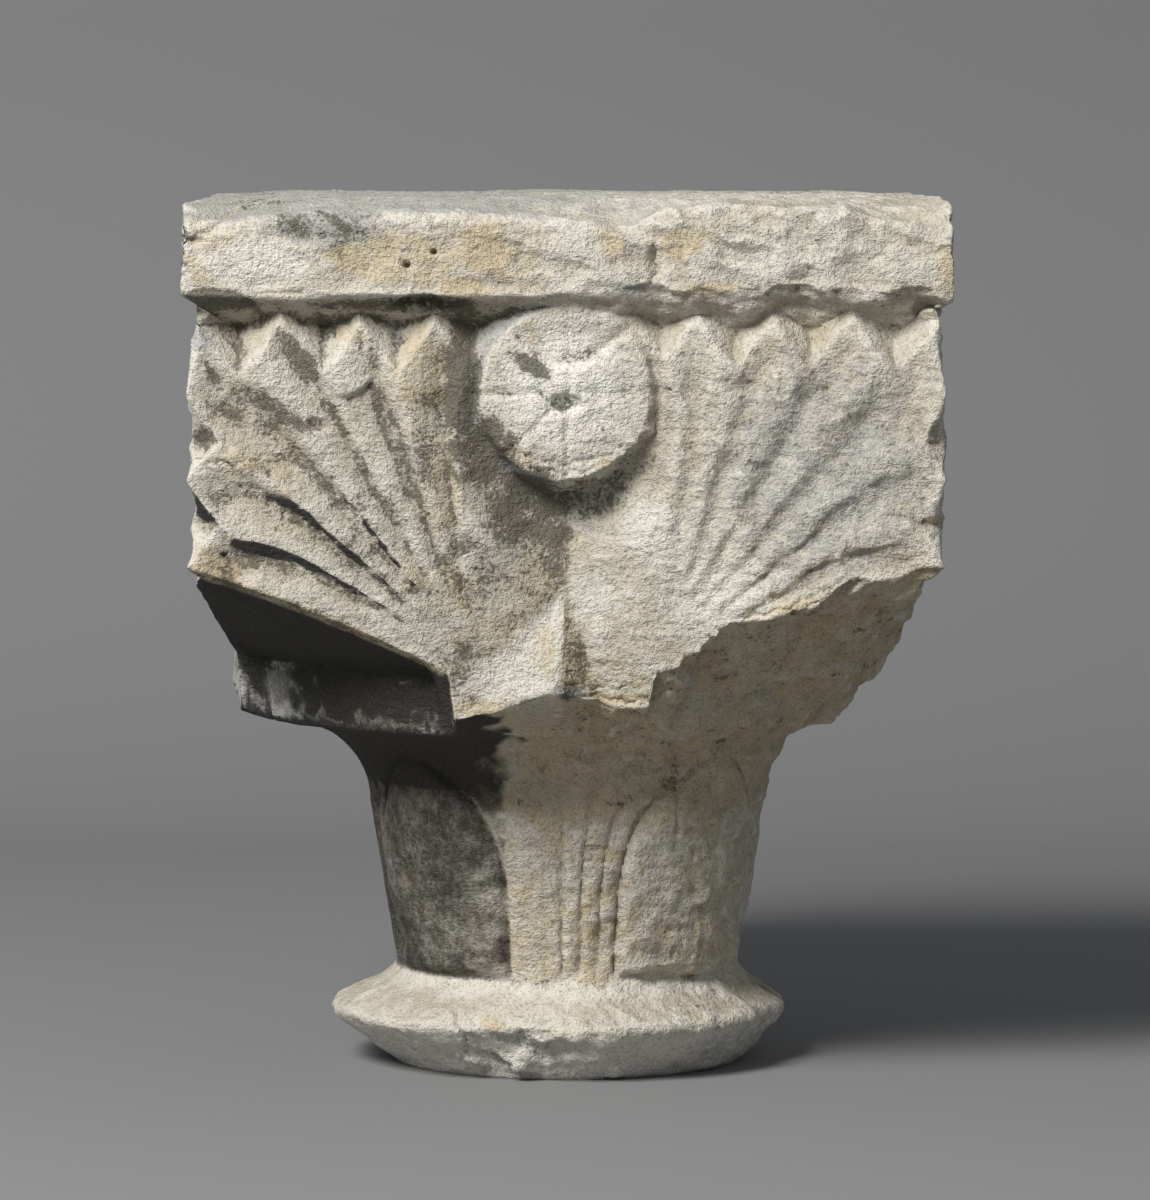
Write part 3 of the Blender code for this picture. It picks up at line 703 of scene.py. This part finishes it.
# %% Measure the hollows
count = len(mesh.vertices)
co = np.empty(count * 3, dtype=np.float32)
mesh.vertices.foreach_get("co", co)
co = co.reshape(-1, 3).astype(float)
point_normals = np.empty(count * 3, dtype=np.float32)
mesh.vertex_normals.foreach_get("vector", point_normals)
point_normals = point_normals.reshape(-1, 3)
edges = np.empty(len(mesh.edges) * 2, dtype=np.int32)
mesh.edges.foreach_get("vertices", edges)
ends = np.concatenate([edges, edges.reshape(-1, 2)[:, ::-1].ravel()]).reshape(-1, 2)
degree = np.bincount(ends[:, 0], minlength=count)


def average_round(values):
    """Each point's value becomes the mean of the points it shares an edge with."""
    return np.bincount(ends[:, 0], weights=values[ends[:, 1]], minlength=count) / degree


softened = co.copy()
for _ in range(8):
    softened = np.stack([average_round(softened[:, k]) for k in range(3)], axis=-1)
hollow = ((softened - co) * point_normals).sum(axis=-1) / MM
print("deepest hollow and proudest point in mm:", round(hollow.max(), 2), round(-hollow.min(), 2))

# %% [markdown]
# Several stains share the same places. Each place is a mask from 0 to 1, made with the formulas that carved
# the stone, so a stain follows its form exactly.

# %% Masks that the stains share
x, y, z = co.T
nx, ny, nz = point_normals.T
near = smooth(0.03, -0.05, y)
facing = smooth(0.2, -0.4, ny)
left_side = ease(4, -20, x)
right_side_dry = 1.0 - left_side
cloud = rough(co, 30 * MM, 81, 3)
fine = rough(co, 7 * MM, 83, 2)
finer = rough(co, 3 * MM, 85, 2)
below = smooth(-0.2, -0.5, nz) * ease(40, 60, z)
round_part = ease(128, 122, z) * ease(33, 37, z)
leaves = ease(138, 150, z) * ease(287, 283, z)
angle = np.degrees(np.arctan2(x, -y))


def marks(table):
    """The strongest of several soft ovals on the front.

    Each is its place across and up, half width and half height in mm, turn in degrees, and strength.
    """
    strongest = np.zeros(count)
    for at_x, at_z, half_x, half_z, lean_over, strength in table:
        strongest = np.maximum(strongest, strength * spot(x, z, at_x, at_z, half_x, half_z, lean_over))
    return strongest * facing


def most(*layers):
    """The strongest of several layers at each point."""
    return np.maximum.reduce(layers)


def keep(name, values):
    """Stores one stain on the points, where the material can read it by its name."""
    layer = mesh.attributes.new(name, "FLOAT", "POINT")
    layer.data.foreach_set("value", values.astype(np.float32))
    print(name, "covers", round(float((values > 0.4).mean()) * 100.0, 1), "% of the points")


side_x = np.abs(x)
phase, from_fan, bend = leaflet_phase(side_x, z)
in_valley = smooth(0.5, 0.95, leaflet_cut(phase, bend, 0.0)) * (phase < LEAFLETS) * (side_x > FAN_OUT)
in_valley = in_valley * ease(30, 75, from_fan) * leaves * (1.0 - 0.8 * smooth(0.7, 1.0, bend))
down = LOW_APEX - z
off_ridge = x - RIDGE_LEAN[0] * down
narrow_facet = ease(-0.6, 0.6, off_ridge)
narrow_facet = narrow_facet * ease(1.0, -1.0, off_ridge - FACET_SPREAD * down)
narrow_facet = narrow_facet * ease(140, 146, z) * (down > 0.0)
# At the lower leaf's left edge, the wall above the edge gets grey-brown grime with painted shade, and the
# leaf's left facet below it gets painted light, as if one turned from the lamp and the other toward it.
over_leaf = z - (LOW_APEX + 0.9 * x)
wall_beside_grime_and_shade = ease(0, 2, over_leaf) * ease(44, 12, over_leaf) * (x < 0)
wall_beside_grime_and_shade = wall_beside_grime_and_shade * ease(-45, -36, x) * leaves * facing
leaf_facet_painted_light = ease(0, -2, over_leaf) * (x < -1 * MM) * ease(-42, -38, x)
leaf_facet_painted_light = leaf_facet_painted_light * leaves * facing
rosette_up = z - ROSETTE_UP
from_rosette = np.hypot(x, rosette_up)
rosette_shadow_side = smooth(0.35, -0.25, rosette_up / np.maximum(from_rosette, 1 * MM))
under_right = below * ease(-10, 4, x) * ease(230, 210, z) * near
blade_edge = ease(3.5, 0.5, np.abs(z - lower_edge(x, 0.0, 0.0, 1.0) + 1.0 * MM))
blade_edge = blade_edge * ease(-90, -110, y) * ease(-38, -44, x)
print("points on the undersides:", int((below > 0.5).sum()), "of", count)

# %% [markdown]
# Dirt is a grey-brown film. It lies in the leaflets on the left, round the rosette, on the wall below it
# and thinly in every hollow. The right side is nearly clean. Part of what is stored as dirt is painted shade:
# a ring under the rosette's lower rim, a strip under the slab, and the wall beside the lower leaf's left
# edge.

# %% Dirt
# Among these, (-122, 287), (-60, 285) and (60, 290) lie in the strip under the slab's lower arris: painted
# shadow over some grime.
on_the_front = marks((
    (-37, 258, 10, 34, 0, 0.95), (-30, 232, 20, 20, -35, 0.8), (-15, 214, 22, 22, -20, 0.85),
    (-6, 200, 12, 20, 0, 0.72), (6, 216, 24, 12, 8, 0.7), (24, 228, 13, 9, 35, 0.5),
    (-46, 238, 14, 44, 0, 0.45), (-34, 190, 16, 30, 35, 0.5), (-102, 248, 23, 6, -32, 0.85),
    (-94, 266, 19, 6, -52, 0.8), (-126, 208, 8, 6, 0, 0.6), (-100, 196, 20, 3, -24, 0.4),
    (-13, 264, 11, 5, -32, 0.9), (5, 267, 12, 4, 8, 0.55), (-1, 250, 7, 4, 0, 0.7),
    (-122, 287, 22, 6, -4, 0.9), (-60, 285, 54, 4, 0, 0.8), (-128, 238, 6, 6, 0, 0.9),
    (90, 226, 56, 62, 0, 0.2), (-84, 313, 32, 9, 0, 0.5), (-110, 321, 30, 4, 0, 0.5),
    (60, 290, 80, 3, 0, 0.3), (-20, 144, 16, 3, 8, 0.5),
))
dirt = most(
    on_the_front,
    in_valley * facing * (0.1 + 0.48 * left_side * smooth(-0.9, 0.6, fine)),
    # Painted shadow: a ring just below the rosette's lower rim, where the drum shades the wall.
    0.75 * ease(9, 0, np.abs(from_rosette - 37 * MM)) * rosette_shadow_side * facing * ease(33, -18, x),
    smooth(0.08, 0.5, hollow) * (0.2 + 0.4 * left_side * leaves) * facing,
    0.36 * smooth(-0.4, 0.9, cloud) * (1.0 - near),
    0.36 * left_side * leaves * facing * smooth(-0.3, 0.8, cloud),
    0.48 * narrow_facet,
    0.24 * under_right,
    0.15 * round_part * near * smooth(-17.0, -10.0, angle) * ease(80, 112, z),
    # Painted shade with some grime on the wall beside the lower leaf.
    wall_beside_grime_and_shade * (0.42 + 0.2 * cloud),
)
# The lower leaf's left facet is kept clear of dirt: painted light.
dirt = most(dirt * (1.0 - 0.85 * leaf_facet_painted_light), 0.5 * blade_edge)
keep("dirt", np.clip(dirt + (0.2 * fine + 0.2 * finer) * (dirt > 0.05), 0.0, 1.0))

# %% [markdown]
# A black crust covers what rain never washes: the underside of the leaves on the left and the bell's left
# lobe. On the bell it stops at a straight line. Two ovals under the slab's lower arris are painted shadow,
# and on the ring's left end the crust is thinned as painted light.

# %% Soot
on_bell = round_part * smooth(-17.0, -18.6, angle + 0.8 * fine) * smooth(-150.0, -120.0, angle)
thin = smooth(-36.0, -25.0, angle + 5.0 * cloud + 5.0 * fine) * ease(114, 96, z)
ragged_edge = angle + 9.0 * fine + 260.0 * (z - 0.118)
stops = np.where(z < 136 * MM, smooth(-13.0, -24.0, ragged_edge), ease(-37, -39, x))
on_ring = ease(158, 150, z) * ease(98, 112, z) * smooth(-150.0, -120.0, angle) * ease(-120, -117, y)
soot = most(
    below * ease(-14, -34, x + 8 * MM * fine) * ease(230, 210, z),
    # Painted shadow under the slab's lower arris: in the chip at (-48, 286) and at the left end.
    marks(((-48, 286, 26, 5, 0, 0.6), (-112, 286, 22, 4, 0, 0.35))),
    on_bell * (0.62 - 0.07 * thin + 0.1 * cloud + 0.14 * fine * thin),
    on_ring * stops,
)
ring_zone = ease(120, 128, z) * ease(158, 152, z) * (1.0 - below)
lobe_line = np.exp(-(((45.0 - np.abs(angle) - lobe_half(z)) / 0.9) ** 2)) * round_part * near
# On the ring's left end the soot is halved, and grey is laid over it further on: painted light, as if that
# end stood in the lamp.
soot = soot * (1.0 - 0.5 * ring_zone * ease(-92, -106, x)) * (1.0 - 0.7 * blade_edge)
soot = soot * (1.0 - 0.4 * ring_zone * smooth(-0.1, -0.4, hollow)) * (1.0 - 0.35 * lobe_line)
keep("soot", soot)

# %% [markdown]
# Iron turns sandstone the colour of honey where water soaks through. Grey lies on the slab's upper edge,
# and rubbed or broken stone is pale. Grey also paints shade on the side of the rosette's drum, and grey and
# pale paint light on the ring's left end, the lower leaf's left facet and the foot's lower slope.

# %% Warm stone
on_the_front = marks((
    (-30, 305, 13, 12, 0, 1.2), (-36, 291, 12, 5, 0, 1.2), (15, 306, 7, 10, 0, 0.7), (41, 307, 16, 8, 0, 0.8),
    (51, 291, 14, 4, 0, 0.9), (133, 296, 6, 14, 0, 0.9), (-60, 302, 34, 14, 0, 0.8),
    (-124, 194, 16, 8, -20, 0.9), (-52, 262, 16, 30, 0, 0.6), (-44, 222, 9, 34, 0, 0.6),
    (-38, 186, 8, 24, 20, 0.55), (-7, 163, 5, 16, 8, 0.5), (4, 156, 5, 12, 6, 0.8),
    (20, 145, 20, 3, 2, 0.8), (-30, 142, 12, 5, 0, 0.7), (0, 133, 45, 8, 0, 0.7),
    (-15, 231, 12, 6, -35, 0.45), (14, 228, 12, 5, 30, 0.4),
    (-24, 103, 8, 5, 0, 0.9), (25, 104, 9, 3, 0, 0.8), (86, 180, 26, 3, 16, 0.7), (-5, 118, 44, 10, 0, 0.6),
    (-30, 22, 12, 5, 0, 0.4), (-108, 230, 22, 10, 0, 0.35), (-80, 275, 12, 10, 0, 0.4),
    (90, 226, 56, 62, 0, 0.35),
))
ochre = most(
    on_the_front,
    0.4 * smooth(0.25, 0.9, rough(co, 24 * MM, 87, 3)) * (1.0 - 0.7 * right_side_dry),
    0.9 * blade_edge,
    0.6 * narrow_facet,
    0.9 * under_right,
    0.9 * ease(150, 130, z) * ease(84, 104, z) * smooth(-17.0, -10.0, angle) * near,
    0.36 * round_part * near,
    # Ochre on the wall beside the lower leaf, part of its painted shade.
    0.42 * wall_beside_grime_and_shade,
)
keep("ochre", np.clip(ochre + 0.3 * fine * (ochre > 0.05), 0.0, 1.0))

# %% Grey and pale stone, with painted light and shade
on_the_front = marks((
    (-85, 313, 32, 11, 0, 0.9), (21, 291, 10, 4, 0, 0.7), (0, 147.5, 8, 3.5, 0, 0.9),
    (-24, 196, 14, 18, 30, 0.45), (-128, 275, 8, 9, 0, 0.7), (90, 226, 58, 64, 0, 0.62),
    (60, 12, 26, 8, 10, 0.5), (-85, 273, 5, 7, -45, 0.7), (-60, 273, 5, 7, 0, 0.7), (-31, 273, 5, 7, 0, 0.7),
))
# The drum's side, on the rosette's left, is painted grey: painted shade that parts it from the wall.
drum_side_shade = ease(30.2, 31.2, from_rosette) * ease(36, 34, from_rosette) * ease(0, -12, x)
keep("grey", most(
    on_the_front,
    0.9 * drum_side_shade * facing,
    smooth(0.6, 0.9, nz) * ease(300, 312, z) * (0.25 + 0.45 * ease(60, -30, x + 45 * MM * cloud)),
    0.5 * smooth(0.2, 0.7, rough(co, 40 * MM, 89, 2)) * (1.0 - near),
    # The ring's left end, grey: grey stone made lighter over the soot, as painted light.
    0.9 * ease(-84, -96, x) * ease(160, 150, z) * ease(90, 110, z),
))
keep("pale", most(
    0.8 * ease(28, 32, z + 3 * MM * fine) * ease(44, 36, z),
    marks((
        (30, 205, 16, 16, 0, 1.0), (60, 182, 30, 24, 30, 0.7), (0, 256, 34, 34, 0, 1.35),
        (-110, 300, 30, 14, 0, 1.0), (10, 180, 14, 12, 0, 0.7), (90, 300, 50, 14, 0, 0.4),
    )),
    # The foot's lower slope, pale: pale stone with painted light that lifts the shade there.
    1.25 * ease(21, 16, z),
    # The lower leaf's left facet, pale: painted light.
    0.9 * leaf_facet_painted_light,
    0.6 * smooth(-0.1, -0.5, hollow),
))

# %% [markdown]
# ## The sandstone
#
# Up close the stone is sand: grains of about a millimetre, cream, brown and white, stuck together. Three
# sizes of noise give the grains, the crumbs they break off in, and slow clouds of colour. A stain is never
# a smooth film on such a surface. It sits between the grains, so each stored stain is compared with the
# grain before it is shown, and its edge breaks up into specks.
#
# The same nodes could be laid out by hand in the Shader Editor. A few small functions make each of them one
# word.

# %% Words for the shader's nodes
look = bpy.data.materials.new("sandstone")
look.use_nodes = True
tree = look.node_tree
nodes, link = tree.nodes, tree.links.new
shader = nodes["Principled BSDF"]


def noise_node(scale, detail, roughness, stretch=None):
    """Noise on the object's own coordinates; scale is how many features fit in a metre."""
    node = nodes.new("ShaderNodeTexNoise")
    node.inputs["Scale"].default_value = scale
    node.inputs["Detail"].default_value = detail
    node.inputs["Roughness"].default_value = roughness
    if stretch is None:
        link(coordinates.outputs["Object"], node.inputs["Vector"])
    else:
        mapping = nodes.new("ShaderNodeMapping")
        mapping.inputs["Scale"].default_value = stretch
        mapping.inputs["Rotation"].default_value = (0.2, -0.12, 0.4)
        link(coordinates.outputs["Object"], mapping.inputs["Vector"])
        link(mapping.outputs["Vector"], node.inputs["Vector"])
    return node.outputs["Fac"]


def maths(kind, a, b=0.0, c=0.0):
    """One arithmetic step; a, b and c are sockets or numbers."""
    node = nodes.new("ShaderNodeMath")
    node.operation = kind
    for socket, value in zip(node.inputs, (a, b, c)):
        if isinstance(value, (int, float)):
            socket.default_value = value
        else:
            link(value, socket)
    return node.outputs[0]


def times(a, b):
    return maths("MULTIPLY", a, b)


def plus(a, b):
    return maths("ADD", a, b)


def between(low, high, value, to_low=0.0, to_high=1.0):
    """to_low below low, to_high above high, eased in between."""
    node = nodes.new("ShaderNodeMapRange")
    node.interpolation_type = "SMOOTHSTEP"
    node.inputs["From Min"].default_value = low
    node.inputs["From Max"].default_value = high
    node.inputs["To Min"].default_value = to_low
    node.inputs["To Max"].default_value = to_high
    link(value, node.inputs["Value"])
    return node.outputs["Result"]


def blend(amount, under_colour, over_colour, kind="MIX"):
    """Lays one colour over another by an amount; colours are sockets or (r, g, b)."""
    node = nodes.new("ShaderNodeMix")
    node.data_type = "RGBA"
    node.blend_type = kind
    if isinstance(amount, (int, float)):
        node.inputs["Factor"].default_value = amount
    else:
        link(amount, node.inputs["Factor"])
    for socket, value in ((node.inputs[6], under_colour), (node.inputs[7], over_colour)):
        if isinstance(value, tuple):
            socket.default_value = (*value, 1.0)
        else:
            link(value, socket)
    return node.outputs[2]


def stored(name):
    """Reads one of the stains stored on the points."""
    node = nodes.new("ShaderNodeAttribute")
    node.attribute_name = name
    return node.outputs["Fac"]


def grains_node(scale):
    """Rounded cells: how far a place is from the middle of its grain, and a number that each grain has."""
    node = nodes.new("ShaderNodeTexVoronoi")
    node.inputs["Scale"].default_value = scale
    link(coordinates.outputs["Object"], node.inputs["Vector"])
    parts = nodes.new("ShaderNodeSeparateColor")
    link(node.outputs["Color"], parts.inputs["Color"])
    return node.outputs["Distance"], parts.outputs["Red"]


# %% Grains, crumbs and clouds
coordinates = nodes.new("ShaderNodeTexCoord")
clouds = noise_node(24.0, 4.0, 0.6)
crumbs = noise_node(210.0, 4.0, 0.65)
flaky = noise_node(150.0, 3.0, 0.6, (1.0, 1.0, 2.6))
grain = noise_node(720.0, 3.0, 0.7)
dust = noise_node(1900.0, 2.0, 0.6)
from_grain, grain_number = grains_node(1500.0)
print("noises and grains:", len(nodes) - 2, "nodes")

# %% Bare stone and its stains
CREAM, SAND, WHITE = (0.62, 0.58, 0.49), (0.53, 0.48, 0.38), (0.84, 0.81, 0.73)
UMBER, OCHRE = (0.105, 0.095, 0.07), (0.58, 0.45, 0.24)
SLATE, SOOT = (0.43, 0.43, 0.42), (0.042, 0.040, 0.036)

colour = blend(between(0.35, 0.65, clouds), CREAM, SAND)
colour = blend(times(stored("pale"), 0.7), colour, WHITE)


def stain(strength, texture, soft=0.22, gain=1.9):
    """How much of a stain shows: its stored strength against the grain, so that it comes in specks."""
    return between(0.5 - soft, 0.5 + soft, plus(strength, times(maths("SUBTRACT", texture, 0.5), gain)))


mixed = plus(times(grain, 0.55), times(crumbs, 0.45))
specks = plus(times(grain, 0.75), times(crumbs, 0.25))
colour = blend(times(stain(stored("ochre"), crumbs, 0.35), 0.52), colour, OCHRE)
colour = blend(times(stain(stored("grey"), crumbs, 0.3), 0.75), colour, SLATE)
colour = blend(times(stain(stored("dirt"), specks, 0.2, 2.4), 0.86), colour, UMBER)
colour = blend(times(stain(stored("soot"), mixed, 0.25, 0.8), 0.97), colour, SOOT)
speckle = plus(between(0.36, 0.64, grain, 0.6, 1.04), times(grain_number, 0.32))
colour = blend(1.0, colour, blend(speckle, (0.0, 0.0, 0.0), (1.0, 1.0, 1.0)), "MULTIPLY")
dark_grains = between(0.70, 0.76, dust)
colour = blend(times(dark_grains, 0.5), colour, (0.16, 0.13, 0.09))
light_grains = between(0.30, 0.25, dust)
colour = blend(times(light_grains, 0.4), colour, WHITE)
link(colour, shader.inputs["Base Color"])
shader.inputs["Roughness"].default_value = 0.9
shader.inputs["Specular IOR Level"].default_value = 0.25

# %% [markdown]
# The grains also stand up a little. At about a millimetre they are too small for the mesh, so they are a
# bump, and the mesh keeps everything larger.

# %% The feel of the grains
height = plus(times(grain, 0.5), times(crumbs, 0.9))
height = plus(height, times(flaky, 0.5))
height = maths("SUBTRACT", height, times(from_grain, 0.12))
bump = nodes.new("ShaderNodeBump")
bump.inputs["Strength"].default_value = 1.0
bump.inputs["Distance"].default_value = 0.0019
link(height, bump.inputs["Height"])
link(bump.outputs["Normal"], shader.inputs["Normal"])

mesh.materials.clear()
mesh.materials.append(look)
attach(stone, "root")
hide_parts("capital")
print("nodes in the material:", len(nodes))

# %% [markdown]
# ## Studio
#
# A plain grey floor, a strip of the same paper that curves up behind the stone, one broad light high on the
# left in front, and a camera with a long lens a little above the top of the stone. So long a lens sees only
# a small piece of the background, so the strip can be low and narrow, and the stone can be looked at from
# behind too.

# %% Floor and paper
BEND_AT, BEND_RADIUS, PAPER_HALF, PAPER_TOP = 0.7, 0.4, 0.45, 0.45
paper = bpy.data.materials.new("grey_paper")
paper.use_nodes = True
paper.node_tree.nodes["Principled BSDF"].inputs["Base Color"].default_value = (0.236, 0.236, 0.240, 1.0)
paper.node_tree.nodes["Principled BSDF"].inputs["Roughness"].default_value = 0.9


def studio_sheet(name, path, half):
    """A sheet of paper carried sideways from a path of (y, z) points, half to each side."""
    sheet = bpy.data.meshes.new(name)
    points = [(px, py, pz) for py, pz in path for px in (-half, half)]
    sheet.from_pydata(points, [], [(2 * k, 2 * k + 1, 2 * k + 3, 2 * k + 2) for k in range(len(path) - 1)])
    sheet.polygons.foreach_set("use_smooth", [True] * len(sheet.polygons))
    sheet.materials.append(paper)
    obj = bpy.data.objects.new(name, sheet)
    bpy.context.scene.collection.objects.link(obj)


studio_sheet("studio_floor", [(-3.0, 0.0), (3.0, 0.0)], 4.0)
bend = [(BEND_AT + BEND_RADIUS * math.sin(a), BEND_RADIUS * (1.0 - math.cos(a)))
        for a in np.radians(np.linspace(0.0, 90.0, 25))]
studio_sheet("studio_sweep", bend + [(BEND_AT + BEND_RADIUS, PAPER_TOP)], PAPER_HALF)
print("the paper is", round(2 * PAPER_HALF, 2), "m wide and rises", PAPER_TOP, "m")

# %% Light
world = bpy.data.worlds.new("studio")
bpy.context.scene.world = world
world.use_nodes = True
world.node_tree.nodes["Background"].inputs["Color"].default_value = (0.9, 0.95, 1.0, 1.0)
world.node_tree.nodes["Background"].inputs["Strength"].default_value = 0.2


def area_light(name, place, aim, size, power, colour=(1.0, 1.0, 1.0)):
    """A square lamp at place, turned toward aim."""
    lamp = bpy.data.lights.new(name, "AREA")
    lamp.shape = "SQUARE"
    lamp.size = size
    lamp.energy = power
    lamp.color = colour
    obj = bpy.data.objects.new(name, lamp)
    obj.location = place
    way = np.array(aim) - np.array(place)
    flat = math.hypot(way[0], way[1])
    obj.rotation_euler = (math.atan2(flat, -way[2]), 0.0, math.atan2(-way[0], way[1]))
    bpy.context.scene.collection.objects.link(obj)
    return obj


key = area_light("key light", (-1.15, -1.75, 2.0), (0.0, 0.0, 0.15), 1.0, 96.0, (1.0, 0.985, 0.96))
print("the lamp hangs", round(key.location.length, 2), "m from the stone's foot")

# %% Camera
lens = bpy.data.cameras.new("camera")
lens.sensor_width = 36.0
lens.lens = 195.0
lens.clip_end = 50.0
camera = bpy.data.objects.new("camera", lens)
camera.location = (0.003, -2.419, 0.3529)
camera.rotation_euler = (math.radians(90.0 - 4.3), 0.0, 0.0)
bpy.context.scene.collection.objects.link(camera)
bpy.context.scene.camera = camera
bpy.context.scene.view_settings.view_transform = "Standard"
bpy.context.scene.view_settings.look = "None"
print("the camera stands", round(camera.location.length, 2), "m away")
